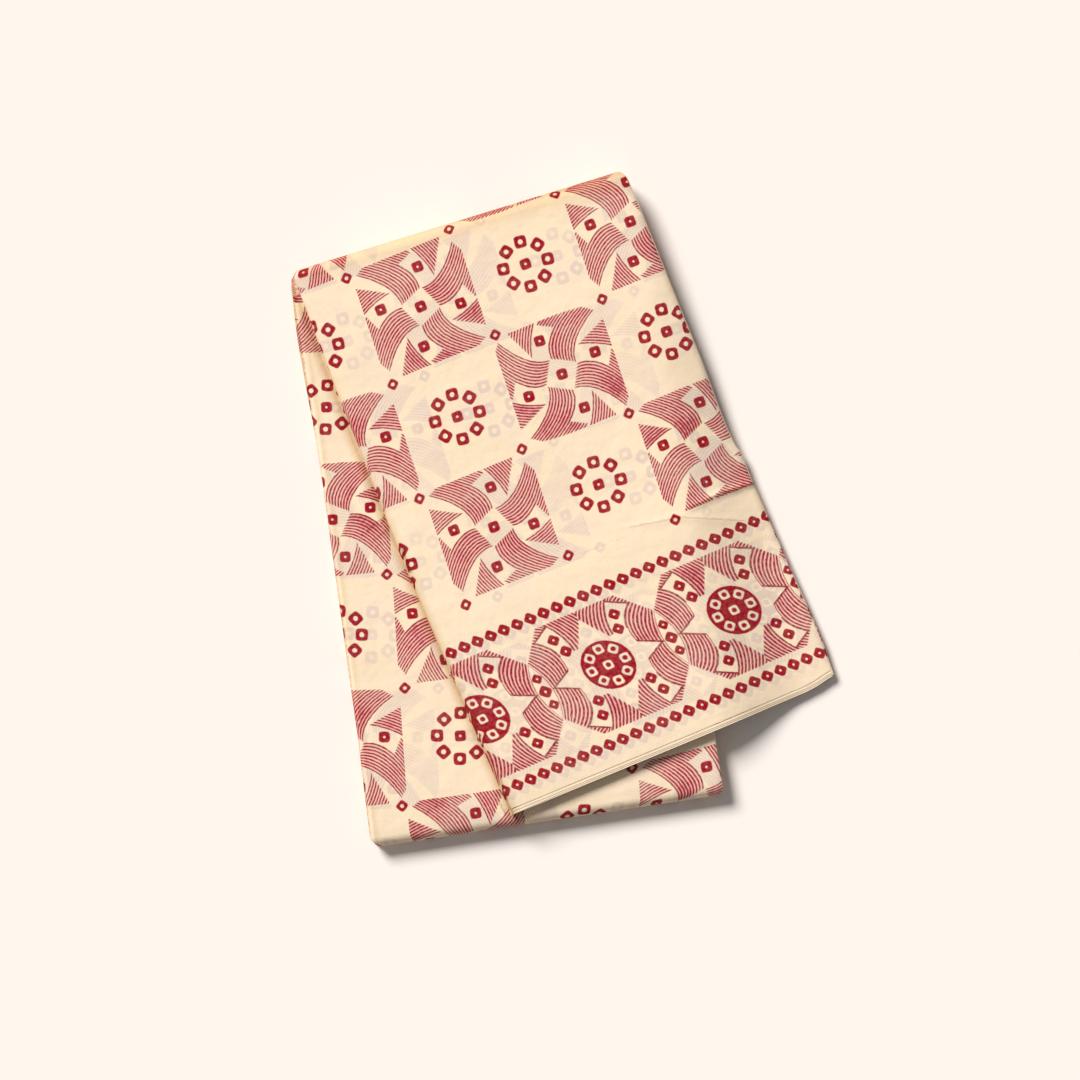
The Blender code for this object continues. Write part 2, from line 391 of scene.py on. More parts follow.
    def place(self, stretch: Stretch, share: Array, width: Array, height: Array
              ) -> Tuple[Array, Array]:
        """Where the points of one stretch lie before the flap droops.

        A flat stretch is a ruled surface between two lines. A fold is a half circle about its axis
        whose radius is the leaf's own distance from the fold's inside.

        Args:
            stretch: The stretch.
            share: Share of the way along it.
            width: Width coordinates.
            height: Heights in the pile.

        Returns:
            Plan points and heights.
        """
        inner, outer = self.room + height, self.room + self.pile - height
        top_back, top_flap, bottom = (self.line(ends, width) for ends in
                                      (self.top_back, self.top_flap, self.bottom))
        if stretch is Stretch.FLAP:
            spot = along(self.flap_end(width, height), top_flap, share)
            return self.bowed(spot, "flap", 1.0 - share, width), self.high_axis + inner
        if stretch is Stretch.TOP_FOLD:
            angle = math.pi * (1.0 - share)
            spot = along(top_back, top_flap, 1.0 - share)
            spot = spot + self.top_out * (inner * np.sin(angle))[..., None]
            spot = self.bowed(spot, "back", np.ones_like(share), width, share)
            z = self.high_axis - inner * np.cos(angle)
            return self.narrowed(spot, np.sin(angle) ** 2, width), z
        if stretch is Stretch.BACK:
            spot = along(top_back, bottom, share)
            return self.bowed(spot, "back", 1.0 - share, width), self.low_axis + outer
        if stretch is Stretch.BOTTOM_FOLD:
            angle = math.pi * share
            spot = bottom + self.bottom_out * (outer * np.sin(angle))[..., None]
            z = self.low_axis + outer * np.cos(angle)
            return self.narrowed(spot, np.sin(angle) ** 2, width), z
        run = self.back_left * self.ground_run
        spot = along(bottom, self.line((self.bottom[0] + run, self.bottom[1] + run), width), share)
        place = share * self.ground_run / self.back_run
        return self.bowed(spot, "back", place, width), self.low_axis - outer

    def drop(self, spot: Array) -> Array:
        """How far the flap comes down past the back's right edge, by an eased slope.

        Args:
            spot: Plan points.

        Returns:
            Metres downwards.
        """
        foot, edge = self.outline.corner("back_right"), self.outline.way("back_right", "top_right")
        past = (spot[..., 0] - foot[0]) * edge[1] - (spot[..., 1] - foot[1]) * edge[0]
        depth = 2.0 * self.pile + 4.0 * self.room - self.droop_floor
        return depth * ease(past / self.droop_run)

    def grid(self, rows: Array, *across: Array) -> List[Array]:
        """The rows' shares and the given column values, each as rows by columns."""
        share = np.repeat(self.share[rows][:, None], self.width.size, axis=1)
        return [share, *(np.broadcast_to(values, share.shape) for values in across)]

    def surface(self) -> Array:
        """The whole folded sheet on its grid of rows and columns.

        Returns:
            World points, an array of rows by columns by 3.
        """
        points = np.zeros((self.stretch.size, self.width.size, 3))
        for stretch in Stretch:
            rows = self.stretch == stretch.value
            share, width, height = self.grid(rows, self.width, self.height)
            spot, z = self.place(stretch, share, width, height)
            depth = height / self.pile
            hold = ease((1.0 - share) / self.calm_share)
            if stretch is Stretch.FLAP:
                own = (hills(spot, self.flap_hills) + self.top_lift) * hold
                own = own - self.end_settle * (1.0 - ease(share / self.settle_share))
                z = z - self.drop(spot) + own * depth ** self.skin_power
            elif stretch is Stretch.BACK:
                hold = hold * ease(share / self.calm_share)
                own = (hills(spot, self.back_hills) + self.top_lift) * hold
                z = z + own * (1.0 - depth) ** self.skin_power
            points[rows, :, :2] = spot - np.array(PLAN_MIDDLE)
            points[rows, :, 2] = z
        return points

    def flat_plan(self, front: bool) -> Array:
        """The print side laid out flat, carried on round turns and folds by their length.

        The front is the flap's top leaf, carried on over the top fold. The other is the back's top
        leaf, carried on round the bottom fold and under.

        Args:
            front: True for the flap, False for the back.

        Returns:
            Points in print units, rows by columns by 2.
        """
        main = Stretch.FLAP if front else Stretch.BACK
        is_outer = (self.turned > 0.0) & (self.owner % (self.levels - 1) == 0)
        arc = self.turned if front else self.turn_length - self.turned
        width = np.where(is_outer, self.left_centre - arc, self.width)
        height = np.full(width.size, self.pile if front else 0.0)
        start, _ = self.place(main, np.zeros(width.size), width, height)
        end, _ = self.place(main, np.ones(width.size), width, height)
        way = (end - start) / np.linalg.norm(end - start, axis=-1, keepdims=True)
        fold = math.pi * (self.room + (self.height if front else self.pile - self.height))
        flat = np.zeros((self.stretch.size, width.size, 2))
        for stretch in Stretch:
            rows = self.stretch == stretch.value
            share, wide, tall = self.grid(rows, width, height)
            if stretch is main:
                flat[rows], _ = self.place(main, share, wide, tall)
            elif stretch in (Stretch.TOP_FOLD, Stretch.BOTTOM_FOLD):
                flat[rows] = end + way * (fold * share)[..., None]
            else:
                flat[rows] = end + way * (fold + self.ground_run * share)[..., None]
        return units_of(flat)

    def build(self) -> bpy.types.Object:
        """Make the sheet's mesh with its maps.

        Returns:
            The cloth as an object at the origin.
        """
        points = self.surface()
        rows, columns = points.shape[:2]
        index = np.arange(rows * columns).reshape(rows, columns)
        faces = np.stack([index[:-1, :-1], index[1:, :-1], index[1:, 1:], index[:-1, 1:]], axis=-1)
        faces = faces.reshape(-1, 4)
        mesh = bpy.data.meshes.new("sari_folded_cloth")
        mesh.from_pydata(points.reshape(-1, 3), [], faces)
        mesh.validate()
        mesh.shade_smooth()
        SheetMaps(self, mesh, faces, points).lay()
        return placed("sari_folded_cloth", mesh)


@dataclass
class SheetMaps:
    """The flat coordinates that the cloth carries: print, border, weave and bake."""

    sari: SariCloth
    mesh: bpy.types.Mesh
    faces: Array
    points: Array
    cell_shift: Pair = (0.37, 0.21)
    border_shift: Pair = (31.0, 0.0)
    no_border: Pair = (0.0, -900.0)

    def __post_init__(self) -> None:
        """Sort the faces and their corners by row, column, side and leaf."""
        sari, columns = self.sari, self.points.shape[1]
        self.row, self.column = np.divmod(self.faces, columns)
        self.face_row, face_column = np.divmod(np.arange(len(self.faces))[:, None], columns - 1)
        turned = sari.turned > 0.0
        in_turn = turned[:-1] | turned[1:]
        self.leaf = np.where(in_turn, sari.owner[:-1], sari.owner[1:])[face_column]
        self.turning = in_turn[face_column] & (self.leaf % (sari.levels - 1) == 0)
        self.front = sari.stretch[self.face_row + 1] <= Stretch.TOP_FOLD.value

    def write(self, name: str, values: Array) -> None:
        """Put one map into the mesh, two numbers for each face corner."""
        layer = self.mesh.uv_layers.new(name=name, do_init=False)
        layer.data.foreach_set("uv", np.ascontiguousarray(values, dtype=np.float32).ravel())

    def lay(self) -> None:
        """Work out the maps and put them into the mesh.

        A hidden leaf's print is moved on by its number, so that no two leaves are alike.
        """
        at_front, at_back = (self.sari.flat_plan(front)[self.row, self.column]
                             for front in (True, False))
        front = self.front[..., None]
        hidden = np.where(self.leaf % (self.sari.levels - 1) == 0, 0, self.leaf)[..., None]
        cell = np.where(front, PrintPlan.flap_cells(at_front), PrintPlan.back_cells(at_back))
        border = np.where(front, PrintPlan.flap_border(at_front), self.no_border)
        self.write("Print", cell + hidden * np.array(self.cell_shift))
        self.write("Border", (border + hidden * np.array(self.border_shift)) / 100.0)
        stride = np.linalg.norm(np.diff(self.points[:, self.points.shape[1] // 8], axis=0), axis=-1)
        length = np.concatenate([[0.0], np.cumsum(stride)])
        self.write("Weave", paired(self.sari.run[self.column], length[self.row]))
        self.write("OFBake", self.bake(length))
        self.mesh.uv_layers["Print"].active_render = True

    def bake(self, length: Array) -> Array:
        """The bake map: two large tiles for the leaves that show, thin bands for the hidden ones.

        Args:
            length: Distance of each row from the flap's selvedge.

        Returns:
            Map coordinates between 0 and 1 for each face corner.
        """
        sari, down, scale, margin = self.sari, length[self.row], 2.02, 0.01
        fold, low = (int(np.searchsorted(sari.stretch, stretch.value))
                     for stretch in (Stretch.BACK, Stretch.GROUND))
        turned, width = sari.turned[self.column], sari.width[self.column]
        leaf_width = np.where(turned > 0.0, -turned, width)
        front_width = leaf_width + sari.turn_length
        back_width = np.where(turned > 0.0, turned, width + sari.turn_length)
        front_tile = paired(0.012 + scale * front_width, margin + scale * down)
        back_tile = paired(0.512 + scale * back_width, margin + scale * (down - length[fold - 1]))
        under_tile = paired(margin + 1.3 * (down - length[low - 1]), 0.862 + 0.30 * back_width)
        band = 0.945 + 0.002 * self.leaf + 0.0012 * leaf_width / sari.strip_width
        top = self.front & ((self.leaf == sari.levels - 1) | self.turning)
        showing = ~self.front & ((self.leaf == 0) | self.turning)
        tiles = np.where(top[..., None], front_tile, paired(margin + 0.85 * down, band))
        tiles = np.where(showing[..., None], back_tile, tiles)
        return np.where((showing & (self.face_row >= low - 1))[..., None], under_tile, tiles)


class PrintPlan:
    """Where the print's figures lie, in print units."""

    FLAP_ORIGIN = (421.0, 307.0)
    FLAP_COLUMN = (104.5, -42.5)
    FLAP_ROW = (36.5, 110.0)
    BACK_MIDDLE = (460.0, 700.0)
    BACK_DOWN = (0.6947, 0.1227, 0.8531, -0.0050, -0.0055, 0.0188)
    BACK_RIGHT = (2.0194, 0.8663, -0.0603, -0.0043, -0.0018, -0.0038)
    BACK_HELD = (-4.5, 2.0)
    BACK_COUNT = 6.0
    BORDER_ORIGIN = (610.2, 663.6)
    BORDER_TURN = 23.4
    BORDER_LEAN = 0.18
    BORDER_START = 2.0

    @classmethod
    def flap_cells(cls, spot: Array) -> Array:
        """Cell coordinates on the flap: the inverse of origin + u column + v row."""
        basis = np.linalg.inv(np.array([cls.FLAP_COLUMN, cls.FLAP_ROW]).T)
        return (spot - np.array(cls.FLAP_ORIGIN)) @ basis.T

    @classmethod
    def back_cells(cls, spot: Array) -> Array:
        """Cell coordinates on the back: a square form in x and y, held straight outside it.

        They are counted six cells up, because the cloth's print goes on below the fold.

        Args:
            spot: Points in print units.

        Returns:
            Cell coordinates u to the right and v down.
        """
        x, y = np.moveaxis((spot - np.array(cls.BACK_MIDDLE)) / 100.0, -1, 0)
        near = np.clip(y, *cls.BACK_HELD)
        terms = np.stack([np.ones_like(x), x, y, x * near, near * near, x * x], axis=-1)
        return paired(terms @ np.array(cls.BACK_RIGHT),
                      terms @ np.array(cls.BACK_DOWN) - cls.BACK_COUNT)

    @classmethod
    def flap_border(cls, spot: Array) -> Array:
        """Border coordinates: along the border and towards the selvedge, from a medallion.

        Args:
            spot: Points in print units.

        Returns:
            Distances in print units.
        """
        angle = math.radians(cls.BORDER_TURN)
        right, down = np.moveaxis(spot - np.array(cls.BORDER_ORIGIN), -1, 0)
        x = right * math.cos(angle) - down * math.sin(angle)
        y = right * math.sin(angle) + down * math.cos(angle)
        return paired(x - cls.BORDER_LEAN * y + cls.BORDER_START, y)


Number = Union["Value", float]
Input = Union["Value", Socket, float, Tuple[float, ...]]
Inputs = Dict[Union[str, int], Input]


def fill(node: bpy.types.Node, inputs: Inputs) -> bpy.types.Node:
    """Link or set a node's inputs.

    Args:
        node: The node.
        inputs: What goes into each input, by the input's name or place.

    Returns:
        The same node.
    """
    for name, given in inputs.items():
        given = given.socket if isinstance(given, Value) else given
        if isinstance(given, Socket):
            node.id_data.links.new(given, node.inputs[name])
        else:
            node.inputs[name].default_value = given
    return node


def add_node(tree: Tree, kind: str, inputs: Inputs, **settings: Union[str, bool, Tree]
             ) -> bpy.types.Node:
    """Add a node, set its properties and fill its inputs.

    Args:
        tree: The node tree.
        kind: The node's type.
        inputs: What goes into each input, by the input's name or place.
        settings: The node's own properties.

    Returns:
        The node.
    """
    node = tree.nodes.new(kind)
    for name, setting in settings.items():
        setattr(node, name, setting)
    return fill(node, inputs)


class Value:
    """A number in a node tree. Arithmetic on it adds Math nodes."""

    def __init__(self, tree: Tree, socket: Socket) -> None:
        """Keep the tree and the socket that gives the number."""
        self.tree, self.socket = tree, socket

    def math(self, operation: str, *others: Number, clamp: bool = False) -> "Value":
        """Add one Math node with this number first.

        Args:
            operation: The Math node's operation.
            others: The other inputs.
            clamp: Whether the result is held between 0 and 1.

        Returns:
            The result.
        """
        node = add_node(self.tree, "ShaderNodeMath", dict(enumerate((self, *others))),
                        operation=operation, use_clamp=clamp)
        return Value(self.tree, node.outputs[0])

    def __add__(self, other: Number) -> "Value":
        """Sum."""
        return self.math("ADD", other)

    def __sub__(self, other: Number) -> "Value":
        """Difference."""
        return self.math("SUBTRACT", other)

    def __rsub__(self, other: float) -> "Value":
        """A plain number less this one."""
        return self.math("MULTIPLY_ADD", -1.0, other)

    def __mul__(self, other: Number) -> "Value":
        """Product."""
        return self.math("MULTIPLY", other)

    def __truediv__(self, other: Number) -> "Value":
        """Quotient."""
        return self.math("DIVIDE", other)

    def __neg__(self) -> "Value":
        """This number with its sign changed."""
        return self.math("MULTIPLY", -1.0)

    def __abs__(self) -> "Value":
        """Size without sign."""
        return self.math("ABSOLUTE")

    def times_add(self, factor: Number, term: Number) -> "Value":
        """This times factor plus term."""
        return self.math("MULTIPLY_ADD", factor, term)

    def ramp(self, factor: float, term: float = 0.0) -> "Value":
        """This times factor plus term, held between 0 and 1."""
        return self.math("MULTIPLY_ADD", factor, term, clamp=True)

    def cover(self, softness: float = 0.9) -> "Value":
        """1 where a signed distance is well inside, 0 outside, straight between."""
        return self.ramp(1.0 / softness, 0.5)

    def mixed(self, other: "Value", share: "Value") -> "Value":
        """This number moved towards another by a share of the way."""
        return (other - self).times_add(share, self)

    def least(self, other: Number) -> "Value":
        """The smaller of two."""
        return self.math("MINIMUM", other)

    def most(self, other: Number) -> "Value":
        """The larger of two."""
        return self.math("MAXIMUM", other)

    def over(self, limit: Number) -> "Value":
        """1 where this is more than the limit, else 0."""
        return self.math("GREATER_THAN", limit)

    def odd(self) -> "Value":
        """1 where this whole number is odd, 0 where it is even."""
        return abs(self).math("MODULO", 2.0)

    def wrapped(self, pitch: float) -> "Value":
        """Distance from the nearest multiple of a pitch, below it negative."""
        return ((self * (1.0 / pitch) + 0.5).math("FRACT") - 0.5) * pitch


class Plane:
    """Two numbers in a node tree: a point of the print."""

    def __init__(self, x: Value, y: Value) -> None:
        """Keep the two coordinates."""
        self.x, self.y = x, y

    @staticmethod
    def of(tree: Tree, socket: Socket) -> "Plane":
        """The x and y of a vector socket."""
        node = add_node(tree, "ShaderNodeSeparateXYZ", {0: socket})
        return Plane(Value(tree, node.outputs[0]), Value(tree, node.outputs[1]))

    def distance(self, centre: Pair = (0.0, 0.0)) -> Value:
        """Distance from a fixed point: the square root of x^2 + y^2.

        Args:
            centre: The point.

        Returns:
            The distance.
        """
        tree = self.x.tree
        spot = add_node(tree, "ShaderNodeCombineXYZ", {0: self.x, 1: self.y}).outputs[0]
        node = add_node(tree, "ShaderNodeVectorMath", {0: spot, 1: (*centre, 0.0)},
                        operation="DISTANCE")
        return Value(tree, node.outputs["Value"])

    def weighed(self, a: float, b: float, start: Pair) -> Value:
        """The sum a (x - x0) + b (y - y0) with the start at x0, y0."""
        return self.y.times_add(b, self.x.times_add(a, -(a * start[0] + b * start[1])))

    def side(self, start: Pair, end: Pair) -> Value:
        """Signed distance from the line start to end, positive on its left with y upwards."""
        way = unit(np.subtract(end, start))
        return self.weighed(-way[1], way[0], start)

    def run(self, start: Pair, end: Pair) -> Value:
        """Share of the way from start to end, by the point's foot on their line."""
        way = np.subtract(end, start)
        return self.weighed(way[0] / (way @ way), way[1] / (way @ way), start)

    def moved(self, x: float, y: float) -> "Plane":
        """The plane with a new zero at x, y."""
        return Plane(self.x - x, self.y - y)

    def quarter(self) -> "Plane":
        """The plane turned by a quarter."""
        return Plane(-self.y, self.x)

    def eighth(self, reach: float, turn: float = 0.0) -> "Plane":
        """Eight sectors laid over one by their angle, with a new zero at a reach from the middle.

        Args:
            reach: Distance of the new zero from the middle.
            turn: Angle by which the sectors are turned.

        Returns:
            The plane in which one figure stands for eight.
        """
        angle = (self.y.math("ARCTAN2", self.x) - turn).wrapped(math.pi / 4.0)
        radius = self.distance()
        return Plane(radius * angle.math("COSINE") - reach, radius * angle.math("SINE"))

    def cushion(self) -> Value:
        """Distance for a rounded square: the fourth root of x^4 + y^4."""
        wide, tall = self.x * self.x, self.y * self.y
        return (wide * wide + tall * tall).math("SQRT").math("SQRT")

    def square(self, half: float, hole: float) -> Value:
        """A rounded square pierced by a round hole."""
        return (half - self.cushion()).cover() * (self.distance() - hole).cover()

    def diamond(self, half: float, hole: float) -> Value:
        """A rounded diamond pierced by a round hole: the rounded square turned by an eighth."""
        turned = Plane((self.x + self.y) * HALF_ROOT, (self.y - self.x) * HALF_ROOT)
        return (half - turned.cushion()).cover() * (self.distance() - hole).cover()


@dataclass(frozen=True)
class PrintSizes:
    """Sizes of the print's figures, in print units."""

    cell: Pair = (112.6, 115.8)
    wheel_lean: Pair = (-4.75, -2.05)
    wheel_tilt: Pair = (4.6, -5.5)
    ring_lean: float = -2.0
    ring_tilt: float = -5.5
    side: float = 59.0
    vane_gaps: float = 8.0
    near_edge: Colour = (9.0, 60.0, -16.6)
    far_edge: Colour = (22.0, 51.0, 5.6)
    end_gap: float = 0.3
    line_slope: float = 2.7
    widening: float = 0.12
    vane_tip: Span = ((-48.5, -52.5), (-35.0, -60.5))
    vane_foot: Span = ((6.0, -18.0), (-17.0, -8.0))
    closing_end: Span = ((13.0, -55.5), (-7.0, -46.5))
    corner_end: Span = ((43.5, -59.0), (24.7, -25.5))
    corner_pitch: float = 2.8
    corner_centre: Pair = (-70.0, -9.0)
    corner_near: float = 95.6
    corner_gap: float = 3.0
    arch_pitch: float = 3.1
    inner_pitch: float = 3.8
    line_share: float = 0.16
    border_share: float = 0.30
    petal: Pair = (11.7, -38.2)
    dot: Pair = (5.5, 1.15)
    ring_radius: float = 22.7
    ring_turn: float = 6.0
    ring_dot: Pair = (6.2, 2.4)
    corner_dot: Pair = (4.9, 1.8)
    corner_step: Pair = (5.3, 3.6)
    body_end: float = 2.5
    medallion_pitch: float = 137.0
    arch_reach: float = 36.2
    inner_reach: float = 20.8
    inner_foot: float = 26.0
    border_half: float = 62.0
    border_corner: Span = ((66.5, 34.0), (43.0, 61.0))
    top_star: Span = ((0.0, 53.0), (16.5, 26.0))
    side_star: Span = ((37.0, 11.0), (59.0, 0.0))
    tick_foot: Span = ((32.5, 59.0), (49.0, 50.0))
    lens: Colour = (68.5, 7.5, 31.0)
    disc_radius: float = 26.0
    disc_ring: float = 18.0
    disc_dot: Pair = (4.8, 2.6)
    disc_middle: Pair = (4.6, 2.6)
    small_dots: Sequence[Tuple[Pair, Pair]] = (
        ((28.5, 29.0), (5.2, 1.1)), ((33.0, 44.0), (5.2, 1.1)),
        ((68.5, 0.0), (5.6, 1.2)), ((68.5, 15.0), (4.5, 1.0)),
    )
    row_pitch: float = 14.35
    row_start: Pair = (1.85, -0.9)
    row_out: Pair = (0.5, 73.5)
    row_dot: Pair = (5.4, 1.15)


@dataclass
class PrintGroup:
    """The print as a shader node group: lines, solid figures and hatched areas."""

    sizes: PrintSizes = field(default_factory=PrintSizes)

    def build(self) -> Tree:
        """Make the group.

        Returns:
            The node tree, with inputs Cell and Border and outputs Line, Solid and Area.
        """
        tree = bpy.data.node_groups.new("sari_print_figures", "ShaderNodeTree")
        for name in ("Cell", "Border"):
            tree.interface.new_socket(name=name, in_out="INPUT", socket_type="NodeSocketVector")
        for name in ("Line", "Solid", "Area"):
            tree.interface.new_socket(name=name, in_out="OUTPUT", socket_type="NodeSocketFloat")
        source, target = tree.nodes.new("NodeGroupInput"), tree.nodes.new("NodeGroupOutput")
        body = self._body(Plane.of(tree, source.outputs["Cell"]))
        edge = self._border(Plane.of(tree, source.outputs["Border"]))
        for name, inner, outer in zip(("Line", "Solid", "Area"), body, edge):
            fill(target, {name: inner.most(outer)})
        return tree

    @staticmethod
    def _stripes(phase: Value, share: float) -> Value:
        """Hatch lines at whole numbers of the phase: its cosine, cut with a soft edge."""
        return (phase * (2.0 * math.pi)).math("COSINE").ramp(1.5, 0.5 + share)

    @staticmethod
    def _bent(spot: Plane, edge: Colour) -> Value:
        """A vane's long edge, x = c - (y + a)^2 / b."""
        down = spot.y + edge[0]
        return (down * down).times_add(-1.0 / edge[1], edge[2])

    def _vane(self, spot: Plane) -> Tuple[Value, Value]:
        """One vane of a pinwheel with its closing piece and its corner triangle.

        The vane lies between two bent edges, and its nine lines share out the width between them.
        The closing piece goes on with wider lines. The triangle's lines are circles about one
        centre.

        Args:
            spot: The cell's own coordinates, turned for this vane.

        Returns:
            The lines' phase and how far inside a hatched piece a point is.
        """
        s = self.sizes
        near, far = self._bent(spot, s.near_edge), self._bent(spot, s.far_edge)
        phase = (spot.x - near) / (far - near) * s.vane_gaps
        band = (phase + s.end_gap).least(s.vane_gaps + s.end_gap - phase) * s.line_slope
        band = band.least(spot.side(*s.vane_foot)).least(spot.side(*s.vane_tip))
        outside = spot.distance(s.corner_centre) - s.corner_near
        closing = ((phase - s.vane_gaps) * s.line_slope).least(spot.side(*s.closing_end))
        closing = closing.least(outside * -1.0 - s.corner_gap)
        hatch = phase.most(phase.times_add(1.0 + s.widening, -s.widening * s.vane_gaps))
        radius = outside * (1.0 / s.corner_pitch)
        corner = ((radius + s.end_gap) * s.corner_pitch).least(spot.side(*s.corner_end))
        return hatch.mixed(radius, corner.over(-1.0)), band.most(closing).most(corner)

    def _body(self, cell: Plane) -> Tuple[Value, Value, Value]:
        """The body's cells: pinwheels and rings of dots by turns, and diamonds at the corners.

        Args:
            cell: Cell coordinates, whole numbers at the cells' middles.

        Returns:
            Lines, solid and hatched area.
        """
        s = self.sizes
        column, row = cell.x.math("ROUND"), cell.y.math("ROUND")
        across, down = cell.x - column, cell.y - row
        hand = row.odd().times_add(-2.0, 1.0)
        is_ring = (column + row).odd()
        wheel = Plane(across.times_add(s.cell[0], hand.times_add(*s.wheel_lean) * down) * hand,
                      down.times_add(s.cell[1], hand.times_add(*s.wheel_tilt) * across))
        box = s.side - abs(wheel.x).most(abs(wheel.y))
        lines, area, spot = cell.x * 0.0, cell.x * 0.0, wheel
        for _ in range(4):
            phase, inside = self._vane(spot)
            inside = inside.least(box)
            lines = lines.most(self._stripes(phase, s.line_share) * inside.cover(1.2))
            area = area.most((inside - 0.9).cover(2.4))
            spot = spot.quarter()
        ring = Plane(across.times_add(s.cell[0], down * s.ring_lean),
                     down.times_add(s.cell[1], across * s.ring_tilt))
        dots = ring.eighth(s.ring_radius, math.radians(s.ring_turn)).square(*s.ring_dot)
        dots = dots.most(ring.square(*s.dot)) * is_ring
        in_body = (s.body_end - cell.y).ramp(s.cell[1], 0.5)
        pin = (1.0 - is_ring) * in_body
        solid = (self._petal_dots(wheel) * pin).most(dots * in_body)
        return lines * pin, solid.most(self._corner_diamonds(cell)), area * pin

    def _petal_dots(self, wheel: Plane) -> Value:
        """The dot on each petal and the middle dot, folded into one quarter by swapping axes.

        Args:
            wheel: The pinwheel's coordinates.

        Returns:
            Solid cover.
        """
        wide, tall = abs(wheel.x), abs(wheel.y)
        upright = wheel.y.math("SIGN") * wheel.x * -1.0
        lying = wheel.x.math("SIGN") * wheel.y
        folded = Plane((lying - upright).times_add(wide.over(tall), upright), -wide.most(tall))
        petals = folded.moved(*self.sizes.petal).square(*self.sizes.dot)
        return petals.most(wheel.square(*self.sizes.dot))

    def _corner_diamonds(self, cell: Plane) -> Value:
        """A small pierced diamond near each corner of the cells, a step off it by turns.

        Args:
            cell: Cell coordinates.

        Returns:
            Solid cover.
        """
        s = self.sizes
        column, row = cell.x.math("FLOOR"), cell.y.math("FLOOR")
        step_x = row.odd().times_add(2.0 * s.corner_step[0], -s.corner_step[0])
        step_y = column.odd().times_add(-2.0 * s.corner_step[1], s.corner_step[1])
        spot = Plane((cell.x - column - 0.5).times_add(s.cell[0], step_x),
                     (cell.y - row - 0.5).times_add(s.cell[1], step_y))
        return spot.diamond(*s.corner_dot) * (s.body_end + 0.12 - cell.y).over(0.0)

    def _border(self, border: Plane) -> Tuple[Value, Value, Value]:
        """The border: medallions with a star and arched windows, between two rows of diamonds.

        Everything is mirrored left to right and top to bottom about the medallion's middle. The
        lines outside a window follow g = x - (y - 19(1 - t))^2 / (94 + 26t), with t rising from 0
        to 1 as x goes from 37 to 61, and the lines inside it x - (y - 27)^2 / 100. The disc is
        solid, with eight pale pierced squares round a ninth.

        Args:
            border: Border coordinates in hundreds of print units.

        Returns:
            Lines, solid and hatched area.
        """
        s = self.sizes
        along_border, outward = border.x * 100.0, border.y * 100.0
        x, y = abs(along_border.wrapped(s.medallion_pitch)), abs(outward)
        spot = Plane(x, y)
        rise = (x - 37.0).ramp(1.0 / 24.0)
        bent, low = y - rise.times_add(-19.0, 19.0), y - 27.0
        outside = x - bent * bent / rise.times_add(26.0, 94.0) - s.arch_reach
        arch = s.inner_reach - (x - low * low * 0.01)
        inside = arch.least(y - s.inner_foot)
        star, ticks = spot.side(*s.side_star), spot.side(*s.tick_foot)
        window = (-outside).least(-arch).least(-ticks)
        lens = s.lens[1] - abs(x - s.lens[0]) - y * y * (s.lens[1] / s.lens[2] ** 2)
        frame_edge = (s.border_half - y).least(spot.side(*s.border_corner))
        area = outside.least(star).most(inside.least(spot.side(*s.top_star)))
        area = area.most(ticks.least(frame_edge)).least(frame_edge).least(-lens)
        phase = (outside * (1.0 / s.arch_pitch)).mixed(arch * (1.0 / s.inner_pitch),
                                                       inside.over(0.0))
        rim = (1.0 - abs(window)).cover() * (y - s.inner_foot).cover()
        rim = rim.most((1.0 - abs(star)).cover() * outside.cover())
        lines = self._stripes(phase, s.border_share) * area.cover(1.2)
        lines = lines.most(rim * frame_edge.least(-lens).cover())
        pale = spot.eighth(s.disc_ring).square(*s.disc_dot).most(spot.square(*s.disc_middle))
        solid = (s.disc_radius - spot.distance()).cover() * (1.0 - pale)
        for middle, dot in s.small_dots:
            solid = solid.most(spot.moved(*middle).diamond(*dot))
        start = outward.math("SIGN").times_add(*s.row_start)
        row = Plane((along_border + start).wrapped(s.row_pitch),
                    abs(outward - s.row_out[0]) - s.row_out[1])
        return lines, solid.most(row.diamond(*s.row_dot)), (area - 0.7).cover(2.4)


@dataclass
class Layers:
    """A colour in a node tree that is changed layer by layer towards fixed colours."""

    tree: Tree
    colour: Union[Socket, Tuple[float, ...]]

    def lay(self, share: Value, above: Colour, blend: str = "MIX") -> None:
        """Mix or multiply the colour so far with a fixed one.

        Args:
            share: How much of the fixed colour there is, 0 to 1.
            above: The fixed colour.
            blend: The Mix node's way of blending.
        """
        node = add_node(self.tree, "ShaderNodeMix",
                        {"Factor": share, 6: self.colour, 7: (*above, 1.0)},
                        data_type="RGBA", blend_type=blend)
        self.colour = node.outputs[2]


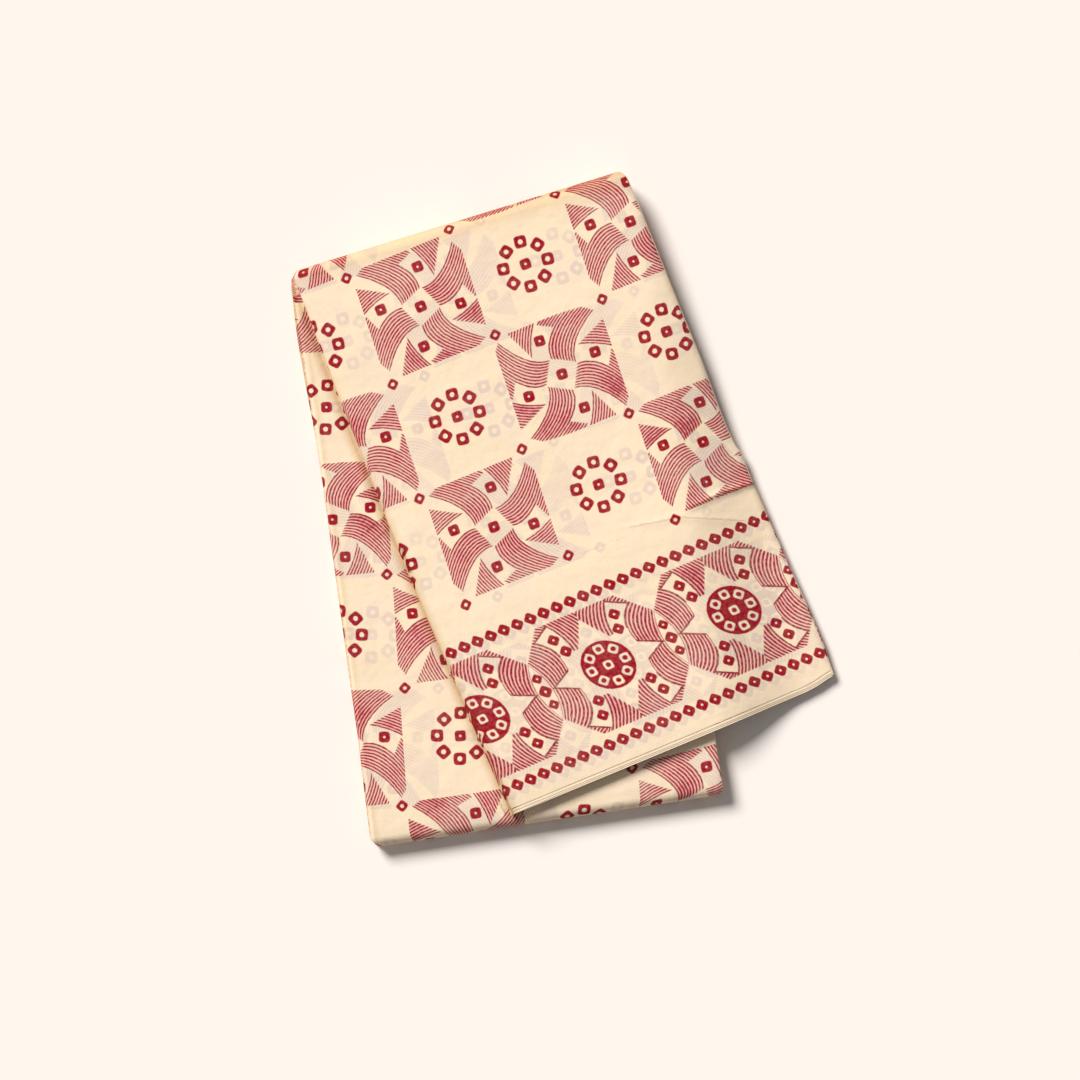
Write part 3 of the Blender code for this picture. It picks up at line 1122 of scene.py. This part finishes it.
@dataclass(frozen=True)
class PrintedCotton:
    """The cloth's finish: thin pale cotton with a block print, its show-through, weave and wear,
    with painted shade along its turned edges and creases.
    """

    ground: Colour = (0.920, 0.722, 0.488)
    ground_light: Colour = (0.960, 0.790, 0.570)
    ground_rosy: Colour = (0.905, 0.715, 0.560)
    show_through: Colour = (0.640, 0.490, 0.480)
    bleed: Colour = (0.930, 0.440, 0.390)
    soaked: Colour = (0.520, 0.060, 0.085)
    line: Colour = (0.280, 0.014, 0.028)
    solid: Colour = (0.335, 0.002, 0.016)
    # Painted shade at the turned edges, multiplied into the cloth's colour.
    painted_fold_shade: Colour = (0.690, 0.580, 0.430)
    # Painted shade in the creases, multiplied into the cloth's colour.
    painted_crease_shade: Colour = (0.520, 0.360, 0.240)
    speck: Colour = (0.480, 0.330, 0.230)
    cell_waver: float = 0.0052
    border_waver: float = 0.006
    under_cell: Colour = (-0.29, -0.038, 0.0)
    under_border: Colour = (-0.32, -0.06, 0.0)
    under_strength: Colour = (0.24, 0.32, 0.50)
    rough_noise: Pair = (300.0, 2.0)
    noises: Sequence[Pair] = ((14.0, 2.0), (420.0, 4.0), (34.0, 3.0), (22.0, 3.0), (760.0, 1.0))
    crumple_noise: Pair = (55.0, 3.0)
    thread: float = 0.00042
    thread_height: float = 0.00003
    crumple_height: float = 0.0011
    shine: Dict[str, float] = field(default_factory=lambda: {
        "Roughness": 0.9, "Specular IOR Level": 0.12, "Sheen Weight": 0.04, "Sheen Roughness": 0.5,
    })
    # Painted shade: soft darker bands where the cloth turns down at the back's left, top and bottom
    # edges, and on both sides of the flap's left edge over the back. Each row: start and end in
    # print units, bow, half-width and strength.
    edges: Sequence[Tuple[Pair, Pair, float, float, float]] = (
        ((302, 310), (512, 813), 4.2, 10.0, 1.0), ((296, 270), (377, 846), -2.0, 6.0, 0.40),
        ((300, 269), (625, 173), 0.0, 24.0, 0.85), ((377, 846), (712, 797), 0.0, 8.0, 0.30),
    )
    # Painted shade: thin dark lines in the creases, along the tuck on the flap, at the flap's lower
    # left corner, in the crumple on the back and along the turned left and top edges. Each row:
    # start and end in print units, half-width and strength.
    creases: Sequence[Tuple[Pair, Pair, float, float]] = (
        ((688, 509), (722, 493.5), 1.1, 0.8), ((720, 494.5), (756, 483), 1.3, 1.0),
        ((626, 528), (682, 517), 0.6, 0.40), ((678, 517), (748, 521), 0.6, 0.45),
        ((500, 777), (511, 812), 1.0, 0.8), ((493, 790), (506, 815), 0.7, 0.6),
        ((366, 532), (383, 518), 1.1, 0.7), ((374, 541), (388, 529), 0.8, 0.5),
        ((401, 546), (412, 574), 1.0, 0.8), ((290, 282), (312, 421), 1.5, 0.85),
        ((308.5, 398), (348.5, 668), 1.5, 0.75), ((343.5, 635), (371, 848), 1.5, 0.75),
        ((291, 271), (295.5, 304), 1.8, 1.0), ((296, 267.5), (630, 170.5), 1.2, 0.45),
    )

    def build(self) -> bpy.types.Material:
        """Make the material.

        Returns:
            The cloth's material, reading the cloth's own maps.
        """
        material = bpy.data.materials.new("printed_cotton")
        material.use_nodes = True
        tree = material.node_tree
        weave, cell, border = self._maps(tree)
        group = PrintGroup().build()
        near = self._figures(tree, group, cell, border)
        under = self._figures(tree, group, self._sum(tree, cell, self.under_cell),
                              self._sum(tree, border, self.under_border))
        fade, blot, ink, tint, dust = (self._noise(tree, weave, *size) for size in self.noises)
        cloth = Layers(tree, (*self.ground, 1.0))
        cloth.lay(tint, self.ground_light)
        cloth.lay(ink.ramp(-3.0, 1.9) * 0.55, self.ground_rosy)
        cloth.lay(dust.ramp(9.0, -6.35) * 0.5, self.speck)
        area, line, solid = self.under_strength
        ghost = (under["Area"] * area + under["Line"] * line).most(under["Solid"] * solid)
        cloth.lay(ghost * fade.ramp(1.8, -0.1), self.show_through)
        wash = ink.ramp(2.6, -0.62) + blot * 0.4
        cloth.lay(near["Area"] * wash.ramp(0.7, 0.18), self.bleed)
        pool = ink.ramp(6.0, -3.35) * blot.ramp(4.0, -1.3)
        cloth.lay(near["Area"] * pool * 0.8, self.soaked)
        wear = (blot * 0.9 + ink * 0.5).ramp(1.0, 0.20)
        cloth.lay(near["Line"] * wear, self.line)
        cloth.lay(near["Solid"] * wear.times_add(0.25, 0.75), self.solid)
        # Painted shade: darker bands at the turned edges and dark lines in the creases, multiplied
        # in.
        bands, lines = self._painted_shade(self._plan(tree), blot)
        cloth.lay(bands, self.painted_fold_shade, "MULTIPLY")
        cloth.lay(lines, self.painted_crease_shade, "MULTIPLY")
        fill(tree.nodes["Principled BSDF"],
             {**self.shine, "Base Color": cloth.colour, "Normal": self._bump(tree, weave)})
        return material

    def _maps(self, tree: Tree) -> Tuple[Socket, Socket, Socket]:
        """The weave map, and the print's and the border's maps with a small waver in them.

        Args:
            tree: The material's nodes.

        Returns:
            The three maps.
        """
        cell, border, weave = (add_node(tree, "ShaderNodeUVMap", {}, uv_map=name).outputs["UV"]
                               for name in ("Print", "Border", "Weave"))
        scale, detail = self.rough_noise
        rough = add_node(tree, "ShaderNodeTexNoise",
                         {"Vector": weave, "Scale": scale, "Detail": detail}).outputs["Color"]
        wavers = [add_node(tree, "ShaderNodeVectorMath",
                           {0: rough, 1: (size * 2.0, size * 2.0, 0.0), 2: (-size, -size, 0.0)},
                           operation="MULTIPLY_ADD").outputs[0]
                  for size in (self.cell_waver, self.border_waver)]
        return weave, self._sum(tree, cell, wavers[0]), self._sum(tree, border, wavers[1])

    @staticmethod
    def _plan(tree: Tree) -> Plane:
        """The place on the cloth seen from above.

        Args:
            tree: The material's nodes.

        Returns:
            Print units, x to the right and y down.
        """
        place = Plane.of(tree, tree.nodes.new("ShaderNodeTexCoord").outputs["Object"])
        return Plane(place.x.times_add(UNITS, UNIT_ORIGIN[0] + UNITS * PLAN_MIDDLE[0]),
                     place.y.times_add(-UNITS, UNIT_ORIGIN[1] - UNITS * PLAN_MIDDLE[1]))

    def _painted_shade(self, plan: Plane, blot: Value) -> Tuple[Value, Value]:
        """Painted shade: soft darker bands at the turned edges and thin dark lines along the
        creases.

        A band is 1 - |d| / half with d the distance from a bowed line, a crease the same held
        between its two ends. The noise makes both uneven.

        Args:
            plan: The place seen from above.
            blot: Fine noise.

        Returns:
            Amounts of the painted shade bands and of the painted shade lines, 0 to 1.
        """
        bands, lines = blot * 0.0, blot * 0.0
        for start, end, bow, half, strength in self.edges:
            share = plan.run(start, end)
            held = share.most(0.0).least(1.0)
            away = abs(plan.side(start, end) - held * (1.0 - held) * (4.0 * bow))
            ends = (0.54 - abs(share - 0.5)).ramp(25.0)
            band = away.ramp(-1.0 / half, 1.0)
            bands = bands.most(band * band.times_add(0.5, 0.5) * ends * strength)
        for start, end, half, strength in self.creases:
            away = abs(plan.side(start, end) + (blot - 0.5) * 3.0)
            ends = (0.5 - abs(plan.run(start, end) - 0.5)).ramp(12.0)
            lines = lines.most(away.ramp(-0.5 / half, 1.0) * ends * strength)
        return bands * blot.times_add(0.5, 0.75), lines * blot.times_add(1.2, 0.4)

    @staticmethod
    def _noise(tree: Tree, place: Socket, scale: float, detail: float) -> Value:
        """A noise texture's single value on a map."""
        inputs = {"Vector": place, "Scale": scale, "Detail": detail}
        return Value(tree, add_node(tree, "ShaderNodeTexNoise", inputs).outputs[0])

    @staticmethod
    def _sum(tree: Tree, first: Socket, second: Input) -> Socket:
        """The sum of two vectors."""
        return add_node(tree, "ShaderNodeVectorMath", {0: first, 1: second}).outputs[0]

    @staticmethod
    def _figures(tree: Tree, group: Tree, cell: Socket, border: Socket) -> Dict[str, Value]:
        """The print's figures at given coordinates, by the group's output names."""
        node = add_node(tree, "ShaderNodeGroup", {"Cell": cell, "Border": border}, node_tree=group)
        return {name: Value(tree, node.outputs[name]) for name in ("Line", "Solid", "Area")}

    def _bump(self, tree: Tree, weave: Socket) -> Socket:
        """Plain weave and faint crumple: the product of two sines, plus slow noise.

        Args:
            tree: The material's nodes.
            weave: The map in metres along both threads.

        Returns:
            The bent normal.
        """
        place, turn = Plane.of(tree, weave), math.pi / self.thread
        threads = (place.x * turn).math("SINE") * (place.y * turn).math("SINE")
        crumple = self._noise(tree, weave, *self.crumple_noise) * self.crumple_height
        fine = threads.times_add(self.thread_height, crumple)
        return add_node(tree, "ShaderNodeBump",
                        {"Strength": 0.8, "Distance": 1.0, "Height": fine}).outputs[0]


@dataclass
class Studio:
    """The pale floor, the soft light and the camera straight above."""

    camera_height: float = 4.0
    focus_height: float = 0.014
    picture_units: float = 1080.0
    sensor_width: float = 36.0
    floor_half: float = 6.0
    floor_colour: Colour = (0.93, 0.865, 0.815)
    light_energy: float = 4.42
    light_width: float = 22.0
    light_colour: Colour = (1.0, 0.985, 0.965)
    light_way: Colour = (0.80, -1.0, -1.0)
    sky_colour: Colour = (1.0, 0.99, 0.98)
    sky_strength: float = 0.22

    def floor(self) -> None:
        """A wide flat floor of pale paper."""
        side = self.floor_half
        mesh = bpy.data.meshes.new("studio_floor")
        mesh.from_pydata([(-side, -side, 0.0), (side, -side, 0.0), (side, side, 0.0),
                          (-side, side, 0.0)], [], [(0, 1, 2, 3)])
        material = bpy.data.materials.new("pale_paper")
        material.use_nodes = True
        fill(material.node_tree.nodes["Principled BSDF"], {
            "Base Color": (*self.floor_colour, 1.0), "Roughness": 0.95, "Specular IOR Level": 0.0})
        mesh.materials.append(material)
        placed("studio_floor", mesh)

    def lights(self) -> None:
        """One broad key light from the upper left and an even pale sky."""
        key = bpy.data.lights.new("key_light", "SUN")
        key.energy = self.light_energy
        key.angle = math.radians(self.light_width)
        key.color = self.light_colour
        lamp = placed("key_light", key)
        lamp.rotation_mode = "QUATERNION"
        lamp.rotation_quaternion = Vector(self.light_way).to_track_quat("-Z", "Y")
        world = bpy.data.worlds.new("even_sky")
        world.use_nodes = True
        fill(world.node_tree.nodes["Background"],
             {"Color": (*self.sky_colour, 1.0), "Strength": self.sky_strength})
        bpy.context.scene.world = world

    def camera(self) -> None:
        """A long lens straight above, with +Y up the picture."""
        data = bpy.data.cameras.new("camera")
        distance = self.camera_height - self.focus_height
        data.sensor_width = self.sensor_width
        data.lens = data.sensor_width * distance / (self.picture_units / UNITS)
        data.clip_end = 50.0
        camera, middle = placed("camera", data), self.picture_units / 2.0
        camera.location = ((middle - UNIT_ORIGIN[0]) / UNITS - PLAN_MIDDLE[0],
                           (UNIT_ORIGIN[1] - middle) / UNITS - PLAN_MIDDLE[1], self.camera_height)
        bpy.context.scene.camera = camera


def write_sizes() -> None:
    """Bring the view layer up to date."""
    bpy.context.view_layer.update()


def main() -> None:
    logging.basicConfig(level=logging.INFO)
    bpy.context.scene.view_settings.view_transform = "Standard"
    studio = Studio()
    studio.camera()
    studio.lights()
    studio.floor()
    log.info("studio ready")
    cloth = SariCloth().build()
    cloth.data.materials.append(PrintedCotton().build())
    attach(cloth, "root")
    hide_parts("sari_cloth")
    log.info("%s: %d faces", cloth.name, len(cloth.data.polygons))
    write_sizes()


if __name__ == "__main__":
    main()
